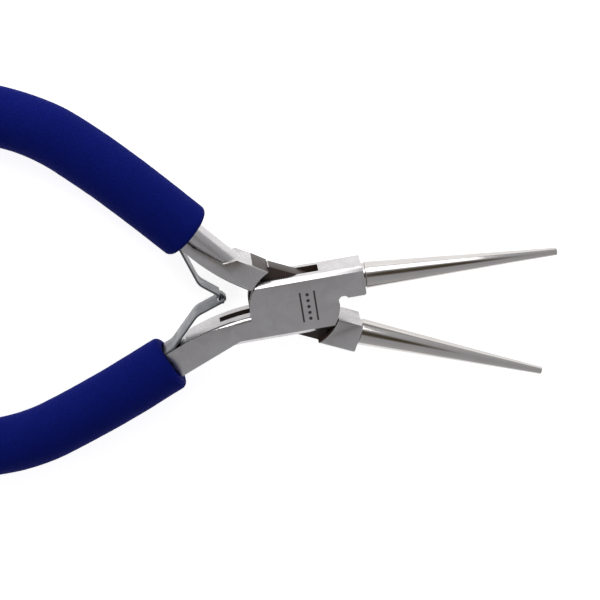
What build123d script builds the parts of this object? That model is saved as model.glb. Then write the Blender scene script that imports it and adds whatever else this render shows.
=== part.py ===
from build123d import *
from math import acos, asin, atan2, cos, degrees, hypot, radians, sin
import os

# Box-jointed round nose pliers with foam grips and a pair of hooked leaf springs, lying flat.
#
# Row frame, in millimetres: +X runs towards the noses along the line midway between them, +Z is up
# through the joint, and the origin is on the pivot axis in the under face of the box.
#
# Each half is drawn shut, in its own plane: its jaw points along +X just above the line y = 0, and its
# handle runs back below that line.  The box half's plane is turned open one way.  The tongue half's plane
# is the same one turned over and opened the other way, so one set of outlines serves both halves.

# ---- joint -----------------------------------------------------------------------------------------
open_half = 13.16         # degrees that each half is turned from shut, as its springs leave it
box_thickness = 9.2       # across the joint, along the pivot
box_width = 14.5          # across the joint, square to the noses
cheek_radius = 10.7       # round ends of the two cheeks, about the pivot
tongue_thickness = 4.2
tongue_radius = 9.7       # round ends of the tongue inside the box
side_clearance = 0.05     # between the tongue and each cheek
end_clearance = 0.3       # round the tongue's ends and round the cheeks' ends
cutter_radius = 12.0      # saw cutter that carries the slot on into the box half's handle
cutter_center = (-9.3, 6.3)
cutter_thickness = 2.8
pin_radius = 2.5
pin_clearance = 0.03      # between the pin and the turning tongue
pin_recess = 0.02         # the pin's ends stand this far below the cheeks
outer_chamfer = 1.0       # long outer corners of the box half
edge_break = 0.3          # outer corners of the tongue half
tongue_root_width = 5.5   # the tongue half's outer edge is drawn in to this by the pivot

# ---- jaws ------------------------------------------------------------------------------------------
jaw_block_end = 17.2      # pivot to the shoulder that the round nose grows from
jaw_corner_round = 0.6    # upright corners of the jaw blocks
jaw_shut_gap = 0.3        # between the two jaw blocks when the tips meet
nose_reach = 63.8         # pivot to tip
nose_root_radius = 3.2
nose_tip_radius = 0.96
nose_tip_gap = 0.1        # between the two tips at the shut limit
nose_edge = 0.15          # broken edge of the tip
relief_width = 0.5        # turned relief where a nose meets its shoulder
relief_depth = 0.25
notch_radius = 1.25       # round notch between a jaw block and the cheek below it
notch_reach = 11.7        # pivot to the notch

# ---- handles ---------------------------------------------------------------------------------------
handle_angle = 23.5       # slope of the handles away from the joint, when shut
throat_drop = 0.73        # the handles' inner edges start this far off the shut line
throat_start = 11.3       # pivot to where the inner edge starts to curve
throat_angle = 5.0        # its slope there
throat_radius = 49.4
neck_start = 12.8         # pivot to where the outer edge starts to curve
neck_end = (-16.7, -7.47)  # end of the full-depth outer edge
nose_wall_mid = (-18.0, -6.47)   # the tongue half's neck is stepped down to a ledge here
ledge_start = (-19.5, -5.53)
ledge_end = (-27.3, -7.23)
neck_taper_start = 14.3   # the neck thins towards the grips' mouths from here
flat_gap = 0.3            # between the box half's flat neck and its grip
throat_round = 1.1        # long inner corners of the necks
seat_thickness = 6.8      # of the ledge that the spring is screwed to
seat_end = 20.5           # length of the straight seat
seat_depth = 2.3
tang_start = (-17.3, -4.95)
tang_half_width = 2.8     # elliptical bar, in the plane of the handles
tang_half_height = 3.4    # and across it
tang_straight = 24.5
tang_bends = ((260.0, 5.0), (45.0, 18.5), (200.0, 5.0))   # radius, degrees turned, inwards
tang_end_round = 1.5

# ---- springs ---------------------------------------------------------------------------------------
leaf_thickness = 0.5
lower_leaf_width = 6.6
upper_leaf_width = 5.2
spring_root = 4.3         # start of the seat to where the leaf lifts off
foot_length = 13.0
knee = (-23.14, 1.52)     # the bend between the two straights, in a half's own plane
knuckle_reach = 17.05     # pivot to the springs' own hinge
root_bend_radius = 3.0
knee_bend_radius = 4.0
eye_radius = 0.97         # outside of the upper leaf's rolled eye
eye_turn = 285.0          # degrees that the eye is rolled through
bar_clearance = 0.07      # between the lower leaf's cross bar and the eye
neck_width = 2.0          # the upper leaf's neck and eye, in the window of the lower leaf
neck_length = 1.5
window_clearance = 0.3    # beside the neck
window_gap = 0.35         # outside the eye
screw_station = 8.0       # spring root to screw
screw_radius = 1.0
screw_length = 4.0
screw_fit = 0.03
screw_head_radius = 1.8
screw_head_height = 0.9
screw_head_round = 0.4
screw_slot_width = 0.4
screw_slot_depth = 0.35
leaf_hole_clearance = 0.1

# ---- grips -----------------------------------------------------------------------------------------
grip_radius = 7.0
grip_inset = 0.6          # the foam's centre line lies this far inside the tang's
grip_mouth_upper = 12.4   # from the start of the tang to the mouth of each sleeve; sleeves are pushed
grip_mouth_lower = 14.5   # on by hand, and the lower one sits further back
grip_overrun = 5.8        # foam beyond the end of the tang
grip_fit = 0.1
tang_end_gap = 0.3        # between the tang's end and the bottom of the bore
mouth_round = 1.3
grip_end_round = 5.5
pocket_clearance = 0.3    # round the spring's foot and the screw

# ---- values worked out from those ------------------------------------------------------------------
half_width = box_width / 2
half_thickness = box_thickness / 2
half_window = tongue_thickness / 2 + side_clearance
window_radius = tongue_radius + end_clearance
shoulder_radius = cheek_radius + end_clearance
jaw_inner_y = jaw_shut_gap / 2
slope = radians(handle_angle)
seat_direction = (-cos(slope), -sin(slope))
seat_normal = (-sin(slope), cos(slope))
tip_nose_y = nose_tip_gap / 2 + nose_tip_radius
root_nose_y = jaw_inner_y + nose_root_radius
eye_mean_radius = eye_radius - leaf_thickness / 2
bar_radius = eye_radius - leaf_thickness - bar_clearance
window_radius_in_leaf = eye_radius + window_gap
flat_end = grip_mouth_lower - flat_gap
far = 2 * nose_reach      # past every end of the pliers

mid_height = (0, 0, half_thickness)
opening = radians(open_half)
box_plane = Plane(mid_height, x_dir=(cos(opening), sin(opening), 0), z_dir=(0, 0, 1))
tongue_plane = Plane(mid_height, x_dir=(cos(opening), -sin(opening), 0), z_dir=(0, 0, -1))


def moved(point, direction, distance):
    """A point moved a distance along a direction."""
    return (point[0] + distance * direction[0], point[1] + distance * direction[1])


def polar(center, radius, angle):
    """A point at a radius and an angle in degrees about a centre."""
    return moved(center, (cos(radians(angle)), sin(radians(angle))), radius)


def direction_of(start, end):
    """The unit direction from one point to another."""
    length = hypot(end[0] - start[0], end[1] - start[1])
    return ((end[0] - start[0]) / length, (end[1] - start[1]) / length)


def heading(start, end):
    """The angle in degrees of the way from one point to another."""
    return degrees(atan2(end[1] - start[1], end[0] - start[0]))


def throat_point(angle):
    """Where the curved stretch of a handle's inner edge has a slope."""
    first = radians(throat_angle)
    along = throat_radius * (sin(radians(angle)) - sin(first))
    down = throat_radius * (cos(first) - cos(radians(angle)))
    return (-throat_start - along, -throat_drop - down)


seat_start = throat_point(handle_angle)
# from a distance along the tang to the distance along the seat beside it
seat_lead = sum((t - s) * d for t, s, d in zip(tang_start, seat_start, seat_direction))


def seat_point(along, out=0.0):
    """A point along a handle's straight inner edge, and that far out from it."""
    return moved(moved(seat_start, seat_direction, along), seat_normal, out)


def tang_point(along, inset=0.0):
    """A point along the straight stretch of a tang's centre line, and that far inwards from it."""
    return moved(moved(tang_start, seat_direction, along), seat_normal, inset)


def picked(plane, edges, test):
    """The edges whose middle, in a half's own plane, passes a test."""
    return [edge for edge in edges if test(plane.to_local_coords(edge.center()))]


def direction_in(plane, direction):
    """A direction in a half's own plane, in the row frame."""
    return plane.x_dir * direction[0] + plane.y_dir * direction[1]


def section_plane(plane, point, direction):
    """A plane across a half's handle, with its X inwards and its Z along the given direction."""
    inwards = (direction[1], -direction[0])
    origin = plane.from_local_coords((point[0], point[1], 0))
    return Plane(origin, x_dir=direction_in(plane, inwards), z_dir=direction_in(plane, direction))


def seat_plane(plane, along, out):
    """A plane that lies on a half's spring seat, with its X towards the grip and its Z outwards."""
    point = seat_point(along, out)
    origin = plane.from_local_coords((point[0], point[1], 0))
    return Plane(
        origin,
        x_dir=direction_in(plane, seat_direction),
        z_dir=direction_in(plane, seat_normal),
    )


# ---- outlines and runs shared by the two halves ------------------------------------------------------
def joint_outline(end_radius):
    """The round-ended block about the pivot, in the active sketch."""
    Circle(end_radius)
    Rectangle(2 * end_radius, box_width, mode=Mode.INTERSECT)


def jaw_block_outline():
    """The block that carries a nose, in the active sketch."""
    with Locations((0, jaw_inner_y)):
        Rectangle(jaw_block_end, half_width - jaw_inner_y, align=(Align.MIN, Align.MIN))


def handle_outline(root_width, flat=False):
    """The neck and the ledge that the spring sits on, stepped or flat, in the active sketch."""
    throat_middle = throat_point((throat_angle + handle_angle) / 2)
    with BuildLine() as outline:
        Polyline((0, 0), (0, -root_width), (-neck_start, -half_width))
        TangentArc((-neck_start, -half_width), neck_end, tangent=(-1, 0))
        if flat:
            Polyline(
                neck_end,
                tang_point(flat_end, -tang_half_width),
                tang_point(flat_end),
                seat_point(flat_end + seat_lead, -seat_depth),
                seat_point(seat_end, -seat_depth),
            )
        else:
            ThreePointArc(neck_end, nose_wall_mid, ledge_start)
            Polyline(ledge_start, ledge_end, seat_point(seat_end, -seat_depth))
        Polyline(seat_point(seat_end, -seat_depth), seat_point(seat_end), seat_start)
        ThreePointArc(seat_start, throat_middle, throat_point(throat_angle))
        Polyline(throat_point(throat_angle), (-cheek_radius, -throat_drop), (0, 0))
    make_face(outline.edges())


def depth_outline():
    """The half seen from its inner side: full depth at the joint, thinner towards the grip."""
    neck_taper_end = -tang_point(grip_mouth_upper)[0]
    with BuildLine() as outline:
        Polyline(
            (far, half_thickness),
            (-neck_taper_start, half_thickness),
            (-neck_taper_end, seat_thickness / 2),
            (-far, seat_thickness / 2),
            (-far, -seat_thickness / 2),
            (-neck_taper_end, -seat_thickness / 2),
            (-neck_taper_start, -half_thickness),
            (far, -half_thickness),
            close=True,
        )
    make_face(outline.edges())


def nose_outline():
    """Half the section of a nose, from its relief groove to its tip, in the active sketch."""
    length = hypot(nose_reach - jaw_block_end, root_nose_y - tip_nose_y)
    with BuildLine() as outline:
        Polyline(
            (-relief_width, 0),
            (-relief_width, nose_root_radius - relief_depth),
            (relief_width, nose_root_radius - relief_depth),
            (relief_width, nose_root_radius),
            (length - nose_edge, nose_tip_radius),
            (length, nose_tip_radius - nose_edge),
            (length, 0),
            close=True,
        )
    make_face(outline.edges())


def nose_plane(plane):
    """A plane with its X along a nose's axis, from its shoulder to its tip."""
    root = plane.from_local_coords((jaw_block_end, root_nose_y, 0))
    tip = plane.from_local_coords((nose_reach, tip_nose_y, 0))
    return Plane(root, x_dir=tip - root, z_dir=plane.z_dir)


def tang_run(plane, inset=0.0, skip=0.0, overrun=0.0):
    """The centre line of a tang or a grip: a straight run, bends inwards, and a last straight."""
    with BuildLine(plane) as run:
        piece = Line(tang_point(skip, inset), tang_point(tang_straight, inset))
        for radius, turn in tang_bends:
            piece = JernArc(piece @ 1, piece % 1, radius - inset, -turn)
        if overrun:
            Line(piece @ 1, piece @ 1 + (piece % 1) * overrun)
    return run.line


def round_block(plane, half):
    """Round the upright corners of a half's jaw block."""
    corners = picked(
        plane,
        half.edges().filter_by(Axis.Z),
        lambda middle: abs(middle.X - jaw_block_end) < 0.01,
    )
    fillet(corners, jaw_corner_round)


def round_throat(plane, half):
    """Round the long inner corners of a half's handle, before it is thinned."""
    x, y = seat_point(seat_end / 2)
    faces = (-half_thickness, half_thickness)
    corners = [half.edges().sort_by_distance(plane.from_local_coords((x, y, z)))[0] for z in faces]
    fillet(corners, throat_round)


def cut_long_corners(plane, half, size):
    """Chamfer the long outer corners of a half's jaw block, cheeks and neck."""
    corners = picked(
        plane,
        half.edges().filter_by(GeomType.LINE),
        lambda middle: abs(middle.Z) > half_thickness - 0.01
        and (middle.Y > half_width - 0.01 or (middle.Y < -tongue_root_width and middle.X > -neck_start)),
    )
    chamfer(corners, size)


def nose(plane):
    """Add a round nose to the active part."""
    with BuildSketch(nose_plane(plane)) as section:
        nose_outline()
    revolve(section.sketch, axis=Axis(nose_plane(plane).origin, nose_plane(plane).x_dir))


def tang(plane):
    """Add the rod that a grip is pushed onto to the active part, and round its end."""
    run = tang_run(plane)
    with BuildPart(mode=Mode.PRIVATE) as rod:
        with BuildSketch(section_plane(plane, tang_start, seat_direction)):
            Ellipse(tang_half_width, tang_half_height)
        sweep(path=run)
        end_edges = rod.edges().filter_by(GeomType.ELLIPSE).sort_by_distance(run @ 1)
        fillet(end_edges[0], tang_end_round)
    add(rod.part)


def screw_hole(plane):
    """Cut the hole for a spring's screw out of the active part."""
    with BuildSketch(seat_plane(plane, spring_root + screw_station, 0)) as hole:
        Circle(screw_radius + screw_fit)
    extrude(hole.sketch, amount=-(screw_length + screw_fit), mode=Mode.SUBTRACT)


def thin_neck(plane):
    """Take the active part down to the depth that its handle has towards the grip."""
    with BuildSketch(Plane(plane.origin, x_dir=plane.x_dir, z_dir=-plane.y_dir)) as depth:
        depth_outline()
    extrude(depth.sketch, amount=far, both=True, mode=Mode.INTERSECT)


# ---- box half: lower handle, two cheeks and upper jaw ----------------------------------------------
with BuildPart() as box_half:
    with BuildSketch(box_plane):
        joint_outline(cheek_radius)
        jaw_block_outline()
        handle_outline(half_width, flat=True)
    extrude(amount=half_thickness, both=True)
    cut_long_corners(box_plane, box_half, outer_chamfer)
    round_throat(box_plane, box_half)
    round_block(box_plane, box_half)
    thin_neck(box_plane)
    # the notch where the jaw block leaves the cheeks
    with BuildSketch(box_plane):
        with Locations((notch_reach, jaw_inner_y - notch_radius / 2)):
            Circle(notch_radius)
    extrude(amount=half_thickness, both=True, mode=Mode.SUBTRACT)
    # the slot that the tongue turns in, open where its jaw and its handle come out
    with BuildSketch(box_plane):
        Circle(window_radius)
        Rectangle(far, far, align=(Align.MIN, Align.MAX))
        Rectangle(far, far, align=(Align.MAX, Align.MIN))
    extrude(amount=half_window, both=True, mode=Mode.SUBTRACT)
    with BuildSketch(box_plane):
        with Locations(cutter_center):
            Circle(cutter_radius)
    extrude(amount=cutter_thickness / 2, both=True, mode=Mode.SUBTRACT)
    with BuildSketch(box_plane):
        Circle(pin_radius)
    extrude(amount=half_thickness, both=True, mode=Mode.SUBTRACT)
    nose(box_plane)
    tang(box_plane)
    screw_hole(box_plane)

# ---- tongue half: upper handle, tongue and lower jaw -------------------------------------------------
with BuildPart() as tongue_half:
    with BuildSketch(tongue_plane):
        jaw_block_outline()
        handle_outline(tongue_root_width)
    extrude(amount=half_thickness, both=True)
    cut_long_corners(tongue_plane, tongue_half, edge_break)
    round_throat(tongue_plane, tongue_half)
    round_block(tongue_plane, tongue_half)
    thin_neck(tongue_plane)
    # shoulders that clear the round ends of the cheeks
    with BuildSketch(tongue_plane):
        Circle(shoulder_radius)
    extrude(amount=half_thickness, both=True, mode=Mode.SUBTRACT)
    # the tongue, and the webs that join it to the jaw and the handle
    with BuildSketch(tongue_plane):
        jaw_block_outline()
        handle_outline(half_width)
        Circle(shoulder_radius + edge_break, mode=Mode.INTERSECT)
        joint_outline(tongue_radius)
        Circle(pin_radius + pin_clearance, mode=Mode.SUBTRACT)
    extrude(amount=tongue_thickness / 2, both=True)
    nose(tongue_plane)
    tang(tongue_plane)
    screw_hole(tongue_plane)

# ---- pivot pin ---------------------------------------------------------------------------------------
with BuildPart() as pivot_pin:
    with BuildSketch(Plane.XY.offset(pin_recess)):
        Circle(pin_radius)
    extrude(amount=box_thickness - 2 * pin_recess)


# ---- springs -----------------------------------------------------------------------------------------
def leaf_bends():
    """Centres and headings of a leaf's root bend and knee, in a half's own plane."""
    root_center = seat_point(spring_root, leaf_thickness / 2 + root_bend_radius)
    reach = hypot(knee[0] - root_center[0], knee[1] - root_center[1])
    aside = degrees(acos(root_bend_radius / reach))
    lift_off = polar(root_center, root_bend_radius, heading(root_center, knee) - aside)
    return root_center, lift_off


def knuckle_in_plane():
    """The springs' own hinge as the springs leave it, in a half's own plane."""
    return polar((0, 0), knuckle_reach, 180 - open_half)


def leaf_center_line(end):
    """The middle of a leaf from its foot to its end, in the active line builder, at its true bends."""
    root_center, lift_off = leaf_bends()
    foot_end = seat_point(spring_root + foot_length, leaf_thickness / 2)
    root = seat_point(spring_root, leaf_thickness / 2)
    turn = heading(lift_off, knee) - handle_angle
    middle = polar(root_center, root_bend_radius, handle_angle - 90 + turn / 2)
    Line(foot_end, root)
    ThreePointArc(root, middle, lift_off)
    FilletPolyline(lift_off, knee, end, radius=knee_bend_radius)


def leaf_hole(plane):
    """Cut the screw's hole out of the active leaf."""
    with BuildSketch(seat_plane(plane, spring_root + screw_station, 0)) as hole:
        Circle(screw_radius + leaf_hole_clearance)
    extrude(hole.sketch, amount=leaf_thickness + screw_fit, mode=Mode.SUBTRACT)


knuckle = knuckle_in_plane()

# the eye that the upper leaf's neck is rolled into
eye_reach = hypot(knuckle[0] - knee[0], knuckle[1] - knee[1])
eye_heading = heading(knee, knuckle) - degrees(asin(eye_mean_radius / eye_reach))
eye_start = polar(knuckle, eye_mean_radius, eye_heading - 90)
eye_middle = polar(knuckle, eye_mean_radius, eye_heading - 90 + eye_turn / 2)
eye_end = polar(knuckle, eye_mean_radius, eye_heading - 90 + eye_turn)

# the lower leaf, with a window at its end and a round cross bar beyond it
with BuildPart() as leaf_spring_lower:
    with BuildSketch(box_plane):
        with BuildLine() as lower_line:
            leaf_center_line(knuckle)
        trace(lower_line.line, leaf_thickness)
    extrude(amount=lower_leaf_width / 2, both=True)
    with BuildSketch(box_plane):
        with Locations(knuckle):
            Circle(window_radius_in_leaf)
    extrude(amount=neck_width / 2 + window_clearance, both=True, mode=Mode.SUBTRACT)
    with BuildSketch(box_plane):
        with Locations(knuckle):
            Circle(bar_radius)
    extrude(amount=lower_leaf_width / 2, both=True)
    leaf_hole(box_plane)

# the upper leaf, which narrows to a neck that is rolled round that bar
with BuildPart() as leaf_spring_upper:
    with BuildSketch(tongue_plane):
        with BuildLine() as upper_line:
            leaf_center_line(eye_start)
            ThreePointArc(eye_start, eye_middle, eye_end)
        trace(upper_line.line, leaf_thickness)
    extrude(amount=upper_leaf_width / 2, both=True)
    with BuildPart(mode=Mode.PRIVATE) as shoulders:
        with BuildSketch(tongue_plane):
            with Locations(knuckle):
                Circle(neck_length)
        extrude(amount=upper_leaf_width / 2, both=True)
        with BuildSketch(tongue_plane):
            with Locations(knuckle):
                Circle(neck_length)
        extrude(amount=neck_width / 2, both=True, mode=Mode.SUBTRACT)
    add(shoulders.part, mode=Mode.SUBTRACT)
    leaf_hole(tongue_plane)


def spring_screw(plane):
    """A slotted cheese-head screw that holds a leaf to its seat, as a part."""
    with BuildPart() as screw:
        with BuildSketch(seat_plane(plane, spring_root + screw_station, leaf_thickness)):
            Circle(screw_head_radius)
        extrude(amount=screw_head_height)
        top = seat_plane(plane, spring_root + screw_station, leaf_thickness + screw_head_height)
        fillet(screw.edges().filter_by(GeomType.CIRCLE).sort_by_distance(top.origin)[0], screw_head_round)
        with BuildSketch(top):
            Rectangle(2 * screw_head_radius, screw_slot_width)
        extrude(amount=-screw_slot_depth, mode=Mode.SUBTRACT)
        with BuildSketch(seat_plane(plane, spring_root + screw_station, leaf_thickness)):
            Circle(screw_radius)
        extrude(amount=-(leaf_thickness + screw_length))
    return screw


spring_screw_lower = spring_screw(box_plane)
spring_screw_upper = spring_screw(tongue_plane)


# ---- grips -------------------------------------------------------------------------------------------
def foam_grip(plane, mouth):
    """A foam sleeve over a tang, with a pocket in it for the spring's foot and screw, as a part."""
    last_straight = tang_end_gap + grip_overrun
    run = tang_run(plane, grip_inset, mouth, last_straight)
    mouth_point = tang_point(mouth, grip_inset)
    with BuildPart() as grip:
        with BuildSketch(section_plane(plane, mouth_point, seat_direction)):
            Circle(grip_radius)
        sweep(path=run)
        rings = grip.edges().filter_by(GeomType.CIRCLE)
        fillet(rings.sort_by_distance(run @ 0)[0], mouth_round)
        rings = grip.edges().filter_by(GeomType.CIRCLE)
        fillet(rings.sort_by_distance(run @ 1)[0], min(grip_end_round, 0.95 * last_straight))
        with BuildPart(mode=Mode.PRIVATE) as bore:
            with BuildSketch(section_plane(plane, tang_start, seat_direction)):
                Ellipse(tang_half_width + grip_fit, tang_half_height + grip_fit)
            sweep(path=tang_run(plane, overrun=tang_end_gap))
        add(bore.part, mode=Mode.SUBTRACT)
        with BuildSketch(plane):
            pocket_outline()
        extrude(amount=seat_thickness / 2 + pocket_clearance, both=True, mode=Mode.SUBTRACT)
    return grip


def pocket_outline():
    """The space that a ledge, a leaf's foot and its screw take up in a grip, in the active sketch."""
    roof = leaf_thickness + screw_head_height + pocket_clearance
    inner_end = max(seat_end, spring_root + foot_length) + pocket_clearance
    with BuildLine() as outline:
        Polyline(
            seat_point(0, roof),
            seat_point(inner_end, roof),
            seat_point(inner_end, -seat_depth),
            seat_point(0, -seat_depth),
            close=True,
        )
    make_face(outline.edges())


grip_lower = foam_grip(box_plane, grip_mouth_lower)
grip_upper = foam_grip(tongue_plane, grip_mouth_upper)

# ---- files -------------------------------------------------------------------------------------------
os.makedirs("parts", exist_ok=True)
box_half.part.label = "box_half"
export_step(box_half.part, "parts/box_half.step")
tongue_half.part.label = "tongue_half"
export_step(tongue_half.part, "parts/tongue_half.step")
pivot_pin.part.label = "pivot_pin"
export_step(pivot_pin.part, "parts/pivot_pin.step")
leaf_spring_lower.part.label = "leaf_spring_lower"
export_step(leaf_spring_lower.part, "parts/leaf_spring_lower.step")
leaf_spring_upper.part.label = "leaf_spring_upper"
export_step(leaf_spring_upper.part, "parts/leaf_spring_upper.step")
spring_screw_lower.part.label = "spring_screw_lower"
export_step(spring_screw_lower.part, "parts/spring_screw_lower.step")
spring_screw_upper.part.label = "spring_screw_upper"
export_step(spring_screw_upper.part, "parts/spring_screw_upper.step")
grip_lower.part.label = "grip_lower"
export_step(grip_lower.part, "parts/grip_lower.step")
grip_upper.part.label = "grip_upper"
export_step(grip_upper.part, "parts/grip_upper.step")
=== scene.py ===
"""Looks of a pair of box-jointed round nose pliers with foam grips and hooked leaf springs."""
import logging
from dataclasses import dataclass
from enum import Enum
from math import acos, asin, atan2, ceil, copysign, cos, hypot, pi, radians, sin, sqrt

import bmesh
import bpy
from bmesh.types import BMEdge, BMesh, BMVert
from bpy.types import Material, Node, NodeSocket, NodeTree, Object
from mathutils import Matrix, Vector, noise


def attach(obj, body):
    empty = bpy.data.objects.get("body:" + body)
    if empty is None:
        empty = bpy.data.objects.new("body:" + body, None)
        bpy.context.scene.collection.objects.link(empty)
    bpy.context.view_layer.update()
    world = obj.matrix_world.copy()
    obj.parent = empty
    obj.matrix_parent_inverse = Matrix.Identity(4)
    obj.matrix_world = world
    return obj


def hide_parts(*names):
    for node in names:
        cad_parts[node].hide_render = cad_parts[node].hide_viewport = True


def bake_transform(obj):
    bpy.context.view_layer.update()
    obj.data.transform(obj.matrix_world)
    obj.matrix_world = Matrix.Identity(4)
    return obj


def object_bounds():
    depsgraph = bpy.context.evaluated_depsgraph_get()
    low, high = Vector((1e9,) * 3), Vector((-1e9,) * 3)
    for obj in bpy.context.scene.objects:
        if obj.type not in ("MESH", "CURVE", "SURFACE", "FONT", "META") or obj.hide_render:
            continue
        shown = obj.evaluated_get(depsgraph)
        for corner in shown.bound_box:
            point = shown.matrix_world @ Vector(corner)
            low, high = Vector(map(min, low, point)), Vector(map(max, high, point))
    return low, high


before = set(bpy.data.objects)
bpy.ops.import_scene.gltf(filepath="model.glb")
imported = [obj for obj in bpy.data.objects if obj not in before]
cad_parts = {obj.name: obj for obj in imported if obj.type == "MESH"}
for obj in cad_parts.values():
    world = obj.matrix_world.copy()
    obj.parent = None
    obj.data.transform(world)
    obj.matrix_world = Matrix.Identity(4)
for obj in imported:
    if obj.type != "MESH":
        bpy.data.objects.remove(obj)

CAD_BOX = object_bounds()
LOG = logging.getLogger("pliers")

MM = 0.001
Z_AXIS = Vector((0.0, 0.0, 1.0))
OPEN_HALF = radians(13.16)
BOX_THICKNESS = 9.2 * MM
HALF_THICKNESS = BOX_THICKNESS / 2
SMOOTH_ANGLE = radians(32.0)


class Side(Enum):
    """The two halves of the pliers, each with its own plane."""

    BOX = "box"
    TONGUE = "tongue"

    @property
    def matrix(self) -> Matrix:
        """The half's own plane in the row frame; the tongue half's is turned over."""
        lift = Matrix.Translation((0.0, 0.0, HALF_THICKNESS))
        turn = Matrix.Rotation(OPEN_HALF, 4, "Z")
        if self is Side.BOX:
            return lift @ turn
        return lift @ Matrix.Rotation(pi, 4, "X") @ turn

    @property
    def body(self) -> str:
        """The body that the half's pieces ride on."""
        return "box_side" if self is Side.BOX else "tongue_side"

    @property
    def leaf_body(self) -> str:
        """The body of the half's leaf spring."""
        return "lower_leaf" if self is Side.BOX else "upper_leaf"

    @property
    def place(self) -> str:
        """Where the half's handle lies, as used in the names of pieces."""
        return "lower" if self is Side.BOX else "upper"

    @property
    def noise_offset(self) -> Vector:
        """A shift that keeps the two grips' skins from being alike."""
        return Vector((3.1, 7.7, 1.3)) if self is Side.BOX else Vector()


# ---- node trees ----
@dataclass
class Tree:
    """A node tree under construction."""

    tree: NodeTree

    def add(self, kind: str, vector: NodeSocket | None = None,
            **settings: object) -> Node:
        """Add a node.

        Args:
            kind: The node's type, without its "ShaderNode" prefix.
            vector: What its "Vector" input reads, if anything.
            settings: Properties by name; a name that the node lacks is an input's name, and its
                value is a socket or a constant.

        Returns:
            The new node.
        """
        node = self.tree.nodes.new("ShaderNode" + kind)
        for name, value in settings.items():
            if hasattr(node, name):
                setattr(node, name, value)
            else:
                self.feed(value, node.inputs[name.replace("_", " ")])
        if vector is not None:
            self.join(vector, node.inputs["Vector"])
        return node

    def join(self, source: NodeSocket, target: NodeSocket) -> None:
        """Link two sockets."""
        self.tree.links.new(source, target)

    def feed(self, value: object, target: NodeSocket) -> None:
        """Give an input a constant, or link a socket to it.

        Args:
            value: A socket, a number, or a vector or colour.
            target: The input.
        """
        if isinstance(value, NodeSocket):
            self.join(value, target)
        elif target.type == "RGBA" and len(value) == 3:
            target.default_value = (*value, 1.0)
        else:
            target.default_value = value

    def math(self, operation: str, *values: object) -> NodeSocket:
        """Add a math node.

        Args:
            operation: Its operation.
            values: Sockets or numbers, in the order of its inputs.

        Returns:
            Its result.
        """
        node = self.add("Math", operation=operation)
        for value, target in zip(values, node.inputs):
            self.feed(value, target)
        return node.outputs[0]

    def spread(self, source: NodeSocket, low: float, high: float,
               to_low: float, to_high: float) -> NodeSocket:
        """Map one range of a value onto another, clamped.

        Args:
            source: The value.
            low: The value that gives to_low.
            high: The value that gives to_high.
            to_low: The first result.
            to_high: The last result.

        Returns:
            The mapped value.
        """
        node = self.add("MapRange", Value=source, From_Min=low, From_Max=high, To_Min=to_low,
                        To_Max=to_high)
        return node.outputs["Result"]

    def blend_colors(self, factor: NodeSocket, first: object,
                     second: object) -> NodeSocket:
        """Mix two colours.

        Args:
            factor: How much of the second.
            first: A colour, or a socket that gives one.
            second: A colour, or a socket that gives one.

        Returns:
            The mixed colour.
        """
        node = self.add("Mix", data_type="RGBA")
        for place, value in ((0, factor), (6, first), (7, second)):
            self.feed(value, node.inputs[place])
        return node.outputs[2]

    def bump(self, height: NodeSocket, depth: float, strength: float) -> NodeSocket:
        """Turn a height into a normal.

        Args:
            height: The height.
            depth: How far a height of 1 stands out.
            strength: How much of it shows.

        Returns:
            The normal.
        """
        return self.add("Bump", Strength=strength, Distance=depth, Height=height).outputs[0]


def group_tree(name: str, inputs: dict[str, object], outputs: tuple[str, ...]
               ) -> tuple[NodeTree, Tree, dict, dict]:
    """Start a node group that reads a vector.

    Args:
        name: The group's name.
        inputs: Default value of each input besides the vector: a number or three numbers.
        outputs: Name of each output, all numbers.

    Returns:
        The group, its tree, its input sockets by name and its output sockets by name.
    """
    group = bpy.data.node_groups.new(name, "ShaderNodeTree")
    group.interface.new_socket("Vector", in_out="INPUT", socket_type="NodeSocketVector")
    for label, value in inputs.items():
        kind = "NodeSocketFloat" if isinstance(value, float) else "NodeSocketVector"
        group.interface.new_socket(label, in_out="INPUT", socket_type=kind).default_value = value
    for label in outputs:
        group.interface.new_socket(label, in_out="OUTPUT", socket_type="NodeSocketFloat")
    enter = group.nodes.new("NodeGroupInput")
    leave = group.nodes.new("NodeGroupOutput")
    entries = {label: enter.outputs[label] for label in ("Vector", *inputs)}
    exits = {label: leave.inputs[label] for label in outputs}
    return group, Tree(group), entries, exits


def brushed_lines_group() -> NodeTree:
    """Fine grinding lines: noise that is long one way and short the other.

    Returns:
        The group, with a height and a shade.
    """
    group, tree, entry, leave = group_tree(
        "brushed_lines",
        {"Lengths": (60.0, 5000.0, 5000.0), "Turn": (0.0, 0.0, 0.0)},
        ("Height", "Shade"),
    )
    mapping = tree.add("Mapping", entry["Vector"], Rotation=entry["Turn"], Scale=entry["Lengths"])
    mapped = mapping.outputs[0]
    fine = tree.add("TexNoise", mapped, Scale=1.0, Detail=5.0, Roughness=0.65).outputs[0]
    wide = tree.add("TexNoise", mapped, Scale=0.22, Detail=3.0, Roughness=0.5).outputs[0]
    tree.join(tree.math("MULTIPLY_ADD", fine, 0.7, wide), leave["Height"])
    tree.join(tree.spread(fine, 0.3, 0.7, 0.0, 1.0), leave["Shade"])
    return group


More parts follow.
